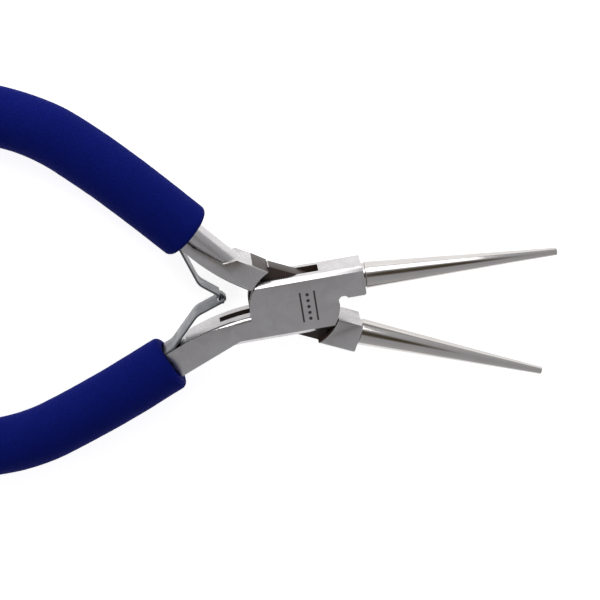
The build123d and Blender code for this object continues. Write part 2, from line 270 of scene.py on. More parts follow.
def edge_wear_group() -> NodeTree:
    """A mask that is 1 along rubbed edges, broken up by noise.

    Returns:
        The group, with the mask.
    """
    group, tree, entry, leave = group_tree("edge_wear", {"Radius": 0.0003}, ("Wear",))
    rounded = tree.add("Bevel", samples=6, Radius=entry["Radius"])
    product = tree.add("VectorMath", operation="DOT_PRODUCT")
    tree.join(rounded.outputs[0], product.inputs[0])
    tree.join(tree.add("NewGeometry").outputs["Normal"], product.inputs[1])
    edge = tree.spread(product.outputs["Value"], 0.995, 0.9, 0.0, 1.0)
    rubbed = tree.add("TexNoise", entry["Vector"], Scale=900.0, Detail=3.0).outputs[0]
    tree.join(tree.math("MULTIPLY", edge, tree.spread(rubbed, 0.35, 0.6, 0.25, 1.0)), leave["Wear"])
    return group


def painted_shade_and_grime_group() -> NodeTree:
    """A mask that is 1 deep in corners and slots, where shade falls and oil and dust gather:
    painted shade along with grime.

    Returns:
        The group, with the mask.
    """
    group, tree, entry, leave = group_tree("corner_painted_shade_and_grime", {"Reach": 0.0012}, ("PaintedShadeAndGrime",))
    # painted shade: ambient occlusion darkens corners and slots, standing in for shade as well as
    # oil and dust
    open_sky = tree.add("AmbientOcclusion", samples=8, Distance=entry["Reach"])
    clumps = tree.add("TexNoise", entry["Vector"], Scale=700.0, Detail=3.0).outputs[0]
    sheltered = tree.spread(open_sky.outputs["AO"], 0.15, 0.62, 1.0, 0.0)
    patchy = tree.spread(clumps, 0.3, 0.6, 0.55, 1.0)
    tree.join(tree.math("MULTIPLY", sheltered, patchy), leave["PaintedShadeAndGrime"])
    return group


def handling_group() -> NodeTree:
    """Clouds left by handling and by the grinding wheel.

    Returns:
        The group, with the clouds.
    """
    group, tree, entry, leave = group_tree("handling", {"Scale": 220.0}, ("Clouds",))
    clouds = tree.add("TexNoise", entry["Vector"], Detail=4.0, Roughness=0.55, Distortion=0.6,
                      Scale=entry["Scale"]).outputs[0]
    tree.join(tree.spread(clouds, 0.32, 0.68, 0.0, 1.0), leave["Clouds"])
    return group


def foam_cells_group() -> NodeTree:
    """The skin of closed-cell foam: small pits between cells and a slow unevenness.

    Returns:
        The group, with a height, the pits and the unevenness.
    """
    group, tree, entry, leave = group_tree("foam_cells", {"Cell": 2600.0},
                                           ("Height", "Pits", "Uneven"))
    place, cell = entry["Vector"], entry["Cell"]
    cells = tree.add("TexVoronoi", place, feature="SMOOTH_F1", Smoothness=0.6, Scale=cell)
    grain = tree.add("TexNoise", place, Detail=4.0, Roughness=0.7,
                     Scale=tree.math("MULTIPLY", cell, 0.55)).outputs[0]
    slow = tree.add("TexNoise", place, Detail=3.0, Roughness=0.5,
                    Scale=tree.math("MULTIPLY", cell, 0.05)).outputs[0]
    pits = tree.spread(cells.outputs["Distance"], 0.15, 0.6, 1.0, 0.0)
    tree.join(tree.math("MULTIPLY_ADD", pits, 0.55, grain), leave["Height"])
    tree.join(tree.math("MULTIPLY", pits, tree.spread(grain, 0.4, 0.65, 1.0, 0.2)), leave["Pits"])
    tree.join(tree.spread(slow, 0.3, 0.7, 0.0, 1.0), leave["Uneven"])
    return group


# ---- finishes ----
def new_material(name: str) -> tuple[Material, Tree, Node, NodeSocket]:
    """Start a material.

    Args:
        name: Its name.

    Returns:
        The material, its tree, its Principled BSDF and the place on the object.
    """
    made = bpy.data.materials.new(name)
    made.use_nodes = True
    tree = Tree(made.node_tree)
    place = tree.add("TexCoord").outputs["Object"]
    return made, tree, made.node_tree.nodes["Principled BSDF"], place


@dataclass(frozen=True)
class SteelFinish:
    """A bare steel surface: ground, polished, blued or turned."""

    name: str
    color: tuple[float, float, float]
    worn_color: tuple[float, float, float]
    roughness: tuple[float, float]
    line_lengths: tuple[float, float, float]
    line_turn: float
    line_depth: float
    cloud_scale: float
    cloud_shade: float
    wear_radius: float
    line_shade: float = 0.25
    line_roughness: float = 0.05
    # how far and how dark the painted shade and grime in corners reach
    painted_shade_and_grime_reach: float = 0.0011
    painted_shade_and_grime_color: tuple[float, float, float] = (0.055, 0.040, 0.034)

    def material(self, groups: dict[str, NodeTree]) -> Material:
        """Make the material.

        Args:
            groups: The shared node groups by name.

        Returns:
            The material.
        """
        made, tree, shader, place = new_material(self.name)
        shader.inputs["Metallic"].default_value = 1.0
        lines = tree.add("Group", place, node_tree=groups["lines"], Lengths=self.line_lengths,
                         Turn=(0.0, 0.0, self.line_turn)).outputs
        handling = tree.add("Group", place, node_tree=groups["handling"], Scale=self.cloud_scale)
        wear = tree.add("Group", place, node_tree=groups["wear"], Radius=self.wear_radius)
        painted_shade_and_grime = tree.add("Group", place, node_tree=groups["painted_shade_and_grime"], Reach=self.painted_shade_and_grime_reach)
        clouds = handling.outputs[0]
        dark = tuple(channel * (1.0 - self.cloud_shade) for channel in self.color)
        body = tree.blend_colors(clouds, dark, self.color)
        in_line = tree.math("MULTIPLY", lines["Shade"], self.line_shade)
        lined = tree.blend_colors(in_line, body, dark)
        rubbed = tree.blend_colors(wear.outputs[0], lined, self.worn_color)
        # painted shade and grime: the corner mask lays a dark brown into corners and slots
        tree.join(tree.blend_colors(painted_shade_and_grime.outputs[0], rubbed, self.painted_shade_and_grime_color),
                  shader.inputs["Base Color"])
        low, high = self.roughness
        smooth = tree.spread(clouds, 0.0, 1.0, high, low)
        tree.join(tree.math("MULTIPLY_ADD", lines["Shade"], self.line_roughness, smooth),
                  shader.inputs["Roughness"])
        tree.join(tree.bump(lines["Height"], self.line_depth, 1.0), shader.inputs["Normal"])
        return made


@dataclass(frozen=True)
class FoamFinish:
    """Matt closed-cell foam, dyed through."""

    name: str = "blue_foam"
    color: tuple[float, float, float] = (0.0035, 0.0076, 0.121)
    pit_color: tuple[float, float, float] = (0.0025, 0.0050, 0.086)
    pale_color: tuple[float, float, float] = (0.0040, 0.0085, 0.133)
    cell_scale: float = 2600.0
    cell_depth: float = 0.00012
    cell_strength: float = 0.8
    pit_shade: float = 0.75
    gloss: float = 0.02
    roughness: tuple[float, float] = (0.66, 0.86)

    def material(self, groups: dict[str, NodeTree]) -> Material:
        """Make the material.

        Args:
            groups: The shared node groups by name.

        Returns:
            The material.
        """
        made, tree, shader, place = new_material(self.name)
        shader.inputs["Specular IOR Level"].default_value = self.gloss
        cells = tree.add("Group", place, node_tree=groups["foam"], Cell=self.cell_scale).outputs
        body = tree.blend_colors(cells["Uneven"], self.color, self.pale_color)
        pits = tree.math("MULTIPLY", cells["Pits"], self.pit_shade)
        tree.join(tree.blend_colors(pits, body, self.pit_color), shader.inputs["Base Color"])
        tree.join(tree.spread(cells["Pits"], 0.0, 1.0, *self.roughness), shader.inputs["Roughness"])
        tree.join(tree.bump(cells["Height"], self.cell_depth, self.cell_strength),
                  shader.inputs["Normal"])
        return made


@dataclass(frozen=True)
class PlainFinish:
    """A matt surface with a faint unevenness, for the painted shade on the joint faces, the mark
    and the table.
    """

    name: str
    color: tuple[float, float, float]
    roughness: float
    scale: float = 400.0
    glow: float = 0.0
    cloud_shade: float = 0.04

    def material(self, groups: dict[str, NodeTree]) -> Material:
        """Make the material.

        Args:
            groups: The shared node groups by name.

        Returns:
            The material.
        """
        made, tree, shader, place = new_material(self.name)
        shader.inputs["Roughness"].default_value = self.roughness
        shader.inputs["Emission Color"].default_value = (1.0, 1.0, 1.0, 1.0)
        shader.inputs["Emission Strength"].default_value = self.glow
        clouds = tree.add("Group", place, node_tree=groups["handling"], Scale=self.scale).outputs[0]
        dark = tuple(channel * (1.0 - self.cloud_shade) for channel in self.color)
        tree.join(tree.blend_colors(clouds, dark, self.color), shader.inputs["Base Color"])
        return made


GROUND_STEEL = SteelFinish(
    "ground_steel", (0.585, 0.57, 0.575), (0.72, 0.71, 0.71), (0.20, 0.30),
    (4200.0, 260.0, 4200.0), OPEN_HALF, 0.0000006, 240.0, 0.12, 0.00016,
)
POLISHED_STEEL = SteelFinish(
    "polished_steel", (0.62, 0.60, 0.585), (0.78, 0.77, 0.76), (0.09, 0.15),
    (60.0, 1500.0, 1500.0), 0.0, 0.0000003, 160.0, 0.07, 0.0001,
)
SPRING_STRIP = SteelFinish(
    "spring_strip", (0.19, 0.195, 0.21), (0.45, 0.46, 0.48), (0.24, 0.38),
    (120.0, 2600.0, 2600.0), 0.0, 0.000001, 420.0, 0.25, 0.00012,
)
TURNED_STEEL = SteelFinish(
    "turned_steel", (0.42, 0.42, 0.42), (0.7, 0.7, 0.7), (0.3, 0.42),
    (1500.0, 1500.0, 1500.0), 0.0, 0.0000008, 500.0, 0.15, 0.0001,
)
# painted shade: a dark brown put on the joint's slot and gap faces, which sit in shade
JOINT_PAINTED_SHADE = PlainFinish("joint_painted_shade", (0.030, 0.017, 0.012), 0.5, 700.0)
ETCHED_OXIDE = PlainFinish("etched_oxide", (0.035, 0.028, 0.026), 0.75, 2600.0)
WHITE_TABLE = PlainFinish("white_table", (0.85, 0.85, 0.85), 0.9, 30.0, 0.72)


# ---- mesh helpers ----
def shade_smooth(shape: BMesh) -> None:
    """Shade a mesh smooth, with its corners kept sharp.

    Args:
        shape: The mesh.
    """
    for face in shape.faces:
        face.smooth = True
    for edge in shape.edges:
        edge.smooth = len(edge.link_faces) == 2 and edge.calc_face_angle(0.0) < SMOOTH_ANGLE


def finished_object(name: str, shape: BMesh, materials: list[Material],
                    recalculate: bool = True) -> Object:
    """Turn a bmesh into an object with smooth faces and sharp corners.

    Args:
        name: The piece's name.
        shape: The mesh, in the row frame, which is freed.
        materials: Its materials in slot order.
        recalculate: Whether its faces are turned to point outwards.

    Returns:
        The object, at the origin.
    """
    if recalculate:
        bmesh.ops.recalc_face_normals(shape, faces=shape.faces)
    shade_smooth(shape)
    mesh = bpy.data.meshes.new(name)
    shape.to_mesh(mesh)
    shape.free()
    for material in materials:
        mesh.materials.append(material)
    made = bpy.data.objects.new(name, mesh)
    bpy.context.scene.collection.objects.link(made)
    LOG.info("%s: %d faces", name, len(mesh.polygons))
    return made


def new_edges(result: list[object]) -> list[BMEdge]:
    """The edges in an operator's result."""
    return [item for item in result if isinstance(item, BMEdge)]


def verts_of(edges: list[BMEdge]) -> list[BMVert]:
    """The vertices of some edges, each once, in a steady order."""
    return list(dict.fromkeys(vert for edge in edges for vert in edge.verts))


def drawn_out(shape: BMesh, edges: list[BMEdge], step: Vector,
              count: int = 1) -> list[BMEdge]:
    """Extrude edges along a straight line.

    Args:
        shape: The mesh.
        edges: The edges to start from.
        step: The whole way.
        count: How many equal steps it takes.

    Returns:
        The last edges.
    """
    for _ in range(count):
        edges = new_edges(bmesh.ops.extrude_edge_only(shape, edges=edges)["geom"])
        bmesh.ops.translate(shape, vec=step / count, verts=verts_of(edges))
    return edges


def swung_round(shape: BMesh, edges: list[BMEdge], center: Vector,
                angle: float, count: int) -> list[BMEdge]:
    """Spin edges about an upright axis.

    Args:
        shape: The mesh.
        edges: The edges to start from.
        center: A point on the axis.
        angle: The angle, anticlockwise from above.
        count: How many steps it takes.

    Returns:
        The last edges.
    """
    made = bmesh.ops.spin(shape, geom=edges + verts_of(edges), cent=center, axis=Z_AXIS,
                          dvec=(0.0, 0.0, 0.0), angle=angle, steps=count,
                          use_merge=False, use_duplicate=False, use_normal_flip=False)
    return new_edges(made["geom_last"])


# ---- handles' geometry, shared by both halves, in a half's own plane ----
@dataclass(frozen=True)
class HandleLine:
    """Where a handle, its spring seat and its tang run, in a half's own plane."""

    slope: float = radians(23.5)
    throat_drop: float = 0.73 * MM
    throat_start: float = 11.3 * MM
    throat_angle: float = radians(5.0)
    throat_radius: float = 49.4 * MM
    tang_start: tuple[float, float] = (-17.3 * MM, -4.95 * MM)
    tang_straight: float = 24.5 * MM
    tang_bends: tuple[tuple[float, float], ...] = (
        (260.0 * MM, radians(5.0)), (45.0 * MM, radians(18.5)), (200.0 * MM, radians(5.0)),
    )

    @property
    def along(self) -> Vector:
        """The handle's direction, away from the joint."""
        return Vector((-cos(self.slope), -sin(self.slope), 0.0))

    @property
    def inwards(self) -> Vector:
        """The direction square to the handle, towards the other one."""
        return Vector((-sin(self.slope), cos(self.slope), 0.0))

    def seat(self, distance: float, out: float = 0.0) -> Vector:
        """A point on the spring's seat.

        Args:
            distance: How far along it, from where it starts.
            out: How far off it.

        Returns:
            The point.
        """
        back = self.throat_radius * (sin(self.slope) - sin(self.throat_angle))
        down = self.throat_radius * (cos(self.throat_angle) - cos(self.slope))
        start = Vector((-self.throat_start - back, -self.throat_drop - down, 0.0))
        return start + distance * self.along + out * self.inwards

    def tang(self, distance: float, inset: float) -> Vector:
        """A point beside the straight part of the tang's centre line.

        Args:
            distance: How far along it.
            inset: How far inwards of it.

        Returns:
            The point.
        """
        return Vector((*self.tang_start, 0.0)) + distance * self.along + inset * self.inwards


HANDLE = HandleLine()


# ---- steel halves ----
@dataclass
class SteelHalf:
    """One forged half: its ground body, from the frame, and its polished nose."""

    side: Side
    node: str
    block_end: float = 17.2 * MM
    nose_reach: float = 63.8 * MM
    nose_root_radius: float = 3.2 * MM
    nose_tip_radius: float = 0.96 * MM
    jaw_inner: float = 0.15 * MM
    tip_gap: float = 0.05 * MM
    relief_width: float = 0.5 * MM
    relief_depth: float = 0.25 * MM
    nose_edge: float = 0.15 * MM
    nose_segments: int = 96
    edge_round: float = 0.13 * MM
    weld: float = 0.001 * MM
    flat_angle: float = radians(0.4)
    plain_zone: float = 3.2 * MM
    slot_half_height: float = 2.3 * MM
    slot_half_width: float = 7.0 * MM
    slot_reach: float = 12.4 * MM
    cutter_center: tuple[float, float] = (-9.3 * MM, 6.3 * MM)
    cutter_reach: float = 12.1 * MM
    cutter_half_height: float = 1.45 * MM
    gap_wall_reach: float = 11.05 * MM
    gap_wall_height: float = 4.5 * MM
    cheek_wall: tuple[float, float] = (9.0 * MM, 10.72 * MM)
    cheek_wall_from: tuple[float, float] = (-5.0 * MM, -0.8 * MM)
    upright: float = 0.3

    def build(self, ground: Material, polished: Material,
              scale: Material) -> Object:
        """Make the half.

        Args:
            ground: The finish of its body.
            polished: The finish of its nose.
            scale: The dark material of the painted shade on its joint faces.

        Returns:
            The piece, in place of the frame's node.
        """
        shape = bmesh.new()
        shape.from_mesh(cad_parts[self.node].data)
        bmesh.ops.transform(shape, matrix=self.side.matrix.inverted(), verts=shape.verts)
        self.clean(shape)
        self.round_edges(shape)
        self.paint_joint_shade(shape)
        self.add_nose(shape)
        bmesh.ops.transform(shape, matrix=self.side.matrix, verts=shape.verts)
        finishes = [ground, polished, scale]
        piece = finished_object(f"{self.node}_ground", shape, finishes, recalculate=False)
        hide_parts(self.node)
        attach(piece, self.side.body)
        return piece

    def clean(self, shape: BMesh) -> None:
        """Weld the frame's loose triangles, cut off the nose and merge flat faces.

        Args:
            shape: The mesh, in the half's own plane.
        """
        bmesh.ops.remove_doubles(shape, verts=shape.verts, dist=self.weld)
        cut = bmesh.ops.bisect_plane(
            shape, geom=shape.verts[:] + shape.edges[:] + shape.faces[:], dist=self.weld / 2,
            plane_co=(self.block_end + self.relief_width / 4, 0.0, 0.0), plane_no=(1.0, 0.0, 0.0),
            clear_outer=True,
        )
        bmesh.ops.edgeloop_fill(shape, edges=new_edges(cut["geom_cut"]))
        bmesh.ops.dissolve_limit(shape, angle_limit=self.flat_angle, use_dissolve_boundaries=False,
                                 verts=shape.verts, edges=shape.edges)
        bmesh.ops.recalc_face_normals(shape, faces=shape.faces)

    def round_edges(self, shape: BMesh) -> None:
        """Break the corners that a hand would feel, but not those of the flush pin's hole.

        Args:
            shape: The mesh, in the half's own plane.
        """
        corners = []
        for edge in shape.edges:
            middle = (edge.verts[0].co + edge.verts[1].co) / 2
            sharp = len(edge.link_faces) == 2 and edge.calc_face_angle(0.0) > SMOOTH_ANGLE
            if sharp and hypot(middle.x, middle.y) >= self.plain_zone:
                corners.append(edge)
        bmesh.ops.bevel(shape, geom=corners, offset=self.edge_round, offset_type="OFFSET",
                        segments=2, profile=0.5, affect="EDGES", clamp_overlap=True, material=-1)

    def paint_joint_shade(self, shape: BMesh) -> None:
        """Paint shade, with a dark material, onto the tongue's plate and the slot that it turns in.

        Args:
            shape: The mesh, in the half's own plane.
        """
        for face in shape.faces:
            middle = face.calc_center_median()
            height, reach = abs(middle.z), middle.xy.length
            inside = abs(middle.y) < self.slot_half_width
            hidden = inside and height < self.slot_half_height and reach < self.slot_reach
            if self.side is Side.BOX:
                from_cutter = (middle.xy - Vector(self.cutter_center)).length
                in_cut = height < self.cutter_half_height and from_cutter < self.cutter_reach
                left, low = self.cheek_wall_from
                end_wall = self.cheek_wall[0] < reach < self.cheek_wall[1]
                end_wall &= middle.x < left and middle.y > low and abs(face.normal.z) < self.upright
                hidden |= inside and in_cut or end_wall
            else:
                hidden |= reach < self.gap_wall_reach and height < self.gap_wall_height
            if hidden:
                # painted shade: faces that sit in shade in the slot, the gap and the cheek's end
                # wall get the dark material
                face.material_index = 2

    def add_nose(self, shape: BMesh) -> None:
        """Turn the round nose and set it on the jaw block.

        Args:
            shape: The mesh, in the half's own plane.
        """
        root = Vector((self.block_end, self.jaw_inner + self.nose_root_radius, 0.0))
        tip = Vector((self.nose_reach, self.tip_gap + self.nose_tip_radius, 0.0))
        length = (tip - root).length
        width, edge = self.relief_width, self.nose_edge
        relief = self.nose_root_radius - self.relief_depth
        profile = [
            (-width, 0.0), (-width, relief), (0.8 * width, relief), (width, relief + edge / 2),
            (1.15 * width, self.nose_root_radius - edge / 3), (1.5 * width, self.nose_root_radius),
            (length - edge, self.nose_tip_radius),
            (length - 0.3 * edge, self.nose_tip_radius - 0.25 * edge),
            (length, self.nose_tip_radius - 0.9 * edge), (length, 0.0),
        ]
        nose = bmesh.new()
        points = [nose.verts.new((x, 0.0, y)) for x, y in profile]
        line = [nose.edges.new(pair) for pair in zip(points, points[1:])]
        bmesh.ops.spin(nose, geom=points + line, cent=(0.0, 0.0, 0.0), axis=(1.0, 0.0, 0.0),
                       dvec=(0.0, 0.0, 0.0), angle=2 * pi, steps=self.nose_segments,
                       use_merge=True, use_duplicate=False, use_normal_flip=False)
        bmesh.ops.remove_doubles(nose, verts=nose.verts, dist=self.weld)
        bmesh.ops.recalc_face_normals(nose, faces=nose.faces)
        for face in nose.faces:
            face.material_index = 1
        aim = (tip - root).normalized().to_track_quat("X", "Z").to_matrix().to_4x4()
        bmesh.ops.transform(nose, matrix=Matrix.Translation(root) @ aim, verts=nose.verts)
        turned = bpy.data.meshes.new("nose")
        nose.to_mesh(turned)
        nose.free()
        shape.from_mesh(turned)
        bpy.data.meshes.remove(turned)


# ---- foam grips ----
@dataclass
class FoamGrip:
    """A foam sleeve pushed onto a tang."""

    side: Side
    mouth: float
    radius: float = 7.0 * MM
    inset: float = 0.6 * MM
    mouth_round: float = 1.5 * MM
    end_round: float = 5.4 * MM
    last_straight: float = 6.1 * MM
    bore_inner: float = 4.15 * MM
    bore_outer: float = 3.5 * MM
    bore_half_height: float = 3.6 * MM
    lip: float = 0.5 * MM
    bore_depth: float = 6.0 * MM
    segments: int = 112
    ring_step: float = 0.7 * MM
    lump_height: float = 0.07 * MM
    lump_size: float = 7.0 * MM
    dimple_height: float = 0.022 * MM
    dimple_size: float = 1.3 * MM

    def build(self, foam: Material) -> Object:
        """Make the sleeve.

        Args:
            foam: Its finish.

        Returns:
            The piece, in place of the frame's node.
        """
        shape = bmesh.new()
        bmesh.ops.create_circle(shape, cap_ends=False, segments=self.segments, radius=self.radius)
        center = HANDLE.tang(self.mouth + self.mouth_round, self.inset)
        across = Matrix((HANDLE.inwards, Z_AXIS, HANDLE.along)).transposed().to_4x4()
        bmesh.ops.transform(shape, matrix=Matrix.Translation(center) @ across, verts=shape.verts)
        first = shape.edges[:]
        self.draw_sleeve(shape, first)
        self.draw_mouth(shape, first, center)
        bmesh.ops.recalc_face_normals(shape, faces=shape.faces)
        self.roughen(shape)
        bmesh.ops.transform(shape, matrix=self.side.matrix, verts=shape.verts)
        piece = finished_object(f"foam_grip_{self.side.place}", shape, [foam])
        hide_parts(f"grip_{self.side.place}")
        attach(piece, self.side.body)
        return piece

    def draw_sleeve(self, shape: BMesh, edges: list[BMEdge]) -> None:
        """Draw the outside back over the straight, the bends and the rounded end.

        Args:
            shape: The mesh.
            edges: The ring at the front.
        """
        length = HANDLE.tang_straight - self.mouth - self.mouth_round
        edges = drawn_out(shape, edges, length * HANDLE.along, ceil(length / self.ring_step))
        point = HANDLE.tang(HANDLE.tang_straight, self.inset)
        direction, inwards = HANDLE.along, HANDLE.inwards
        for radius, turn in HANDLE.tang_bends:
            bend = radius - self.inset
            center = point + bend * inwards
            edges = swung_round(shape, edges, center, -turn, ceil(bend * turn / self.ring_step))
            rotation = Matrix.Rotation(-turn, 3, "Z")
            point = center + rotation @ (point - center)
            direction, inwards = rotation @ direction, rotation @ inwards
        before = self.last_straight - self.end_round
        edges = drawn_out(shape, edges, before * direction)
        self.draw_round(shape, edges, point + before * direction, direction, self.end_round, 9)

    def draw_round(self, shape: BMesh, edges: list[BMEdge], center: Vector,
                   direction: Vector, size: float, count: int, closed: bool = True
                   ) -> list[BMEdge]:
        """Draw a ring over a quarter of a circle inwards.

        Args:
            shape: The mesh.
            edges: The ring.
            center: The ring's centre.
            direction: The way it is drawn.
            size: The quarter circle's radius.
            count: How many steps it takes.
            closed: Whether the last ring is filled.

        Returns:
            The last ring.
        """
        reach, radius = 0.0, self.radius
        for number in range(1, count + 1):
            angle = number / count * pi / 2
            next_reach = size * sin(angle)
            next_radius = self.radius - size * (1.0 - cos(angle))
            edges = drawn_out(shape, edges, (next_reach - reach) * direction)
            ratio = next_radius / radius
            space = Matrix.Translation(-(center + next_reach * direction))
            bmesh.ops.scale(shape, vec=(ratio, ratio, ratio), space=space, verts=verts_of(edges))
            reach, radius = next_reach, next_radius
        if closed:
            bmesh.ops.edgeloop_fill(shape, edges=edges)
        return edges

    def draw_mouth(self, shape: BMesh, edges: list[BMEdge],
                   center: Vector) -> None:
        """Draw the rounded mouth, its lip and the bore that the handle and the leaf go into.

        Args:
            shape: The mesh.
            edges: The ring at the front.
            center: That ring's centre.
        """
        edges = self.draw_round(shape, edges, center, -HANDLE.along, self.mouth_round, 6,
                                closed=False)
        center = center - self.mouth_round * HANDLE.along
        edges = drawn_out(shape, edges, Vector())
        for vert in verts_of(edges):
            vert.co = self.bore_point(vert.co, center, self.lip)
        edges = drawn_out(shape, edges, self.lip * HANDLE.along)
        for vert in verts_of(edges):
            vert.co = self.bore_point(vert.co, center + self.lip * HANDLE.along, 0.0)
        edges = drawn_out(shape, edges, self.bore_depth * HANDLE.along, 4)
        bmesh.ops.edgeloop_fill(shape, edges=edges)

    def bore_point(self, point: Vector, center: Vector, gap: float) -> Vector:
        """A ring's point moved onto the bore, which is squarer where the leaf's foot lies.

        Args:
            point: The point.
            center: The ring's centre.
            gap: How far outside the bore it goes.

        Returns:
            The point on the bore.
        """
        offset = point - center
        angle = atan2(offset.dot(Z_AXIS), offset.dot(HANDLE.inwards))
        square = 0.5 if cos(angle) > 0.0 else 1.0
        reach = self.bore_inner if cos(angle) > 0.0 else -self.bore_outer
        height = copysign((self.bore_half_height + gap) * abs(sin(angle)) ** square, sin(angle))
        inwards = (reach + copysign(gap, reach)) * abs(cos(angle)) ** square
        return center + inwards * HANDLE.inwards + height * Z_AXIS

    def roughen(self, shape: BMesh) -> None:
        """Give the skin the slow lumps and small dimples of cut foam.

        Args:
            shape: The mesh.
        """
        shape.normal_update()
        moves = []
        for vert in shape.verts:
            lump = noise.noise(vert.co / self.lump_size + self.side.noise_offset) - 1.0
            dimple = noise.noise(vert.co / self.dimple_size) - 1.0
            moves.append(vert.normal * (self.lump_height * lump + self.dimple_height * dimple))
        for vert, move in zip(shape.verts, moves):
            vert.co += move


# ---- leaf springs ----
@dataclass
class LeafSpring:
    """A bent strip that is screwed to a handle and hooks into the other strip."""

    side: Side
    width: float
    middle_width: float
    thickness: float = 0.5 * MM
    root: float = 4.3 * MM
    foot_length: float = 13.0 * MM
    root_bend: float = 3.0 * MM
    knee_bend: float = 4.0 * MM
    knee: tuple[float, float] = (-23.14 * MM, 1.52 * MM)
    knuckle_reach: float = 17.05 * MM
    corner_round: float = 0.09 * MM
    corner_angle: float = radians(50.0)
    step: float = 0.33 * MM

    @property
    def knuckle(self) -> Vector:
        """Where the two leaves hook together, in the half's own plane."""
        return self.knuckle_reach * Vector((-cos(OPEN_HALF), sin(OPEN_HALF), 0.0))

    @property
    def knee_point(self) -> Vector:
        """The corner between the leaf's two straights."""
        return Vector((*self.knee, 0.0))

    def start_strip(self, shape: BMesh) -> list[BMEdge]:
        """Lay the strip's end across the handle, in three parts side by side.

        Args:
            shape: The mesh.

        Returns:
            Its edges.
        """
        end = HANDLE.seat(self.root + self.foot_length, self.thickness / 2)
        stations = (-self.width / 2, -self.middle_width / 2, self.middle_width / 2, self.width / 2)
        points = [shape.verts.new(end + height * Z_AXIS) for height in stations]
        return [shape.edges.new(pair) for pair in zip(points, points[1:])]

    def draw_to(self, shape: BMesh, edges: list[BMEdge],
                target: Vector) -> list[BMEdge]:
        """Draw the strip along its foot, over its root bend and round its knee to a point.

        Args:
            shape: The mesh.
            edges: The strip's end.
            target: Where its second straight ends.

        Returns:
            The last edges.
        """
        foot = -self.foot_length * HANDLE.along
        edges = drawn_out(shape, edges, foot, 8)
        center = HANDLE.seat(self.root, self.thickness / 2 + self.root_bend)
        way = self.knee_point - center
        aside = acos(self.root_bend / way.length)
        lift_angle = atan2(way.y, way.x) - aside
        turn = lift_angle + pi / 2 - HANDLE.slope
        edges = swung_round(shape, edges, center, turn, 8)
        lift = center + self.root_bend * Vector((cos(lift_angle), sin(lift_angle), 0.0))
        first = (self.knee_point - lift).normalized()
        second = (target - self.knee_point).normalized()
        bend = atan2(first.cross(second).z, first.dot(second))
        tangent = self.knee_bend * abs(sin(bend / 2) / cos(bend / 2))
        straight = (self.knee_point - lift).length - tangent
        edges = drawn_out(shape, edges, straight * first, ceil(straight / self.step))
        side = Vector((-first.y, first.x, 0.0)) * (1.0 if bend > 0.0 else -1.0)
        knee_center = self.knee_point - tangent * first + self.knee_bend * side
        edges = swung_round(shape, edges, knee_center, bend, 10)
        straight = (target - self.knee_point).length - tangent
        return drawn_out(shape, edges, straight * second, ceil(straight / self.step))

    def cut_away(self, shape: BMesh, reach: float, middle: bool) -> None:
        """Cut part of the strip away round the knuckle.

        Args:
            shape: The mesh.
            reach: How far from the knuckle.
            middle: Whether the middle is cut away, or the parts beside it.
        """
        gone = []
        for face in shape.faces:
            place = face.calc_center_median()
            in_middle = abs(place.z) < self.middle_width / 2
            if (place - self.knuckle).xy.length < reach and in_middle == middle:
                gone.append(face)
        bmesh.ops.delete(shape, geom=gone, context="FACES")

    def build(self, strip: Material) -> Object:
        """Make the leaf.

        Args:
            strip: Its finish.

        Returns:
            The piece, in place of the frame's node.
        """
        shape = bmesh.new()
        self.draw_middle(shape)
        place = self.side.matrix
        bmesh.ops.transform(shape, matrix=place, verts=shape.verts)
        piece = finished_object(f"spring_leaf_{self.side.place}", shape, [strip])
        solid = piece.modifiers.new("thickness", "SOLIDIFY")
        solid.thickness = self.thickness
        solid.offset = 0.0
        rounded = piece.modifiers.new("rolled_edges", "BEVEL")
        rounded.width = self.corner_round
        rounded.segments = 2
        rounded.limit_method = "ANGLE"
        rounded.angle_limit = self.corner_angle
        bpy.context.view_layer.update()
        depsgraph = bpy.context.evaluated_depsgraph_get()
        final = bpy.data.meshes.new_from_object(piece.evaluated_get(depsgraph))
        piece.modifiers.clear()
        piece.data = final
        self.add_end(piece)
        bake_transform(piece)
        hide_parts(f"leaf_spring_{self.side.place}")
        return piece

    def draw_middle(self, shape: BMesh) -> None:
        """Draw the leaf's middle surface in the half's own plane; each kind of leaf has its own."""
        raise NotImplementedError

    def add_end(self, piece: Object) -> None:
        """Add what the strip carries at its end: nothing, unless a kind of leaf has it."""


@dataclass
class WindowLeaf(LeafSpring):
    """The lower leaf, whose end has a window with a round cross bar beyond it."""

    side: Side = Side.BOX
    width: float = 6.6 * MM
    middle_width: float = 2.6 * MM
    window_radius: float = 1.32 * MM
    bar_radius: float = 0.4 * MM
    bar_round: float = 0.12 * MM

    def draw_middle(self, shape: BMesh) -> None:
        """Draw the strip to the knuckle and cut its window.

        Args:
            shape: The mesh.
        """
        self.draw_to(shape, self.start_strip(shape), self.knuckle)
        self.cut_away(shape, self.window_radius, middle=True)

    def add_end(self, piece: Object) -> None:
        """Add the cross bar.

        Args:
            piece: The leaf so far.
        """
        shape = bmesh.new()
        shape.from_mesh(piece.data)
        place = self.side.matrix @ Matrix.Translation(self.knuckle)
        bar = bmesh.ops.create_cone(shape, cap_ends=True, segments=28, radius1=self.bar_radius,
                                    radius2=self.bar_radius, depth=self.width, matrix=place)
        rims = [edge for edge in shape.edges if all(vert in bar["verts"] for vert in edge.verts)
                and edge.calc_face_angle(0.0) > SMOOTH_ANGLE]
        bmesh.ops.bevel(shape, geom=rims, offset=self.bar_round, offset_type="OFFSET", segments=3,
                        profile=0.5, affect="EDGES", clamp_overlap=True, material=-1)
        shade_smooth(shape)
        shape.to_mesh(piece.data)
        shape.free()


